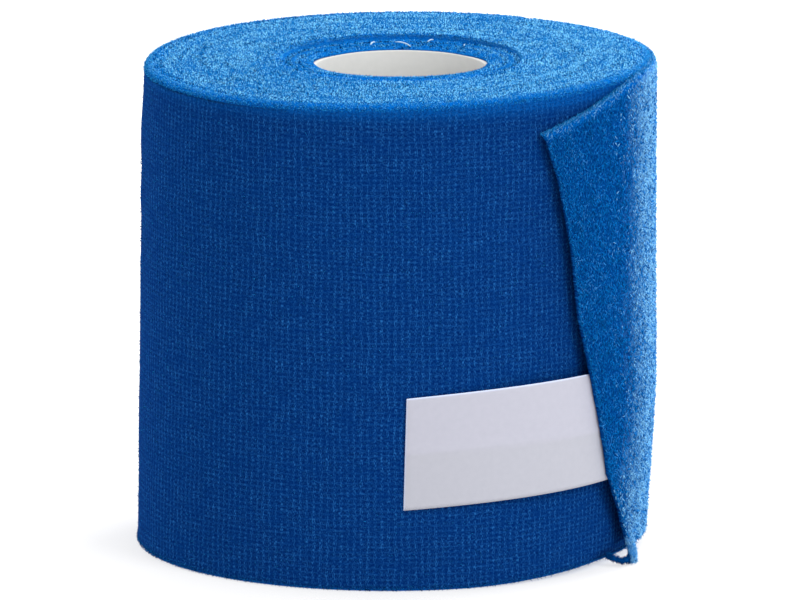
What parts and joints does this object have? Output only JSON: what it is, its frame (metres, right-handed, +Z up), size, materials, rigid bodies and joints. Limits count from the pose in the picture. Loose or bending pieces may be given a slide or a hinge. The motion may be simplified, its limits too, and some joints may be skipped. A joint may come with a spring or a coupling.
{
  "type": "cohesive bandage roll",
  "caption": "Roll of blue cohesive crepe bandage on a paper core, standing on end, its loose end lifting off over a white paper closure tab.",
  "frame": {"origin": "on the surface the roll stands on, under the centre of its bounding box", "axes": "+Z up along the core, -Y the front that shows the free end of the closure tab, +X the side the loose end is on"},
  "size_m": [0.085, 0.085, 0.0807],
  "materials": {
    "wound_cloth": "blue cohesive crepe gauze, stretched and wound, matt",
    "slack_cloth": "the same blue crepe, slack and crinkled, matt",
    "tab_paper": null,
    "core_paper": null
  },
  "bodies": {
    "root": {"wound_roll": "wound_cloth", "loose_end": "slack_cloth", "closure_tab": "tab_paper", "core_tube": "core_paper"}
  },
  "joints": []
}
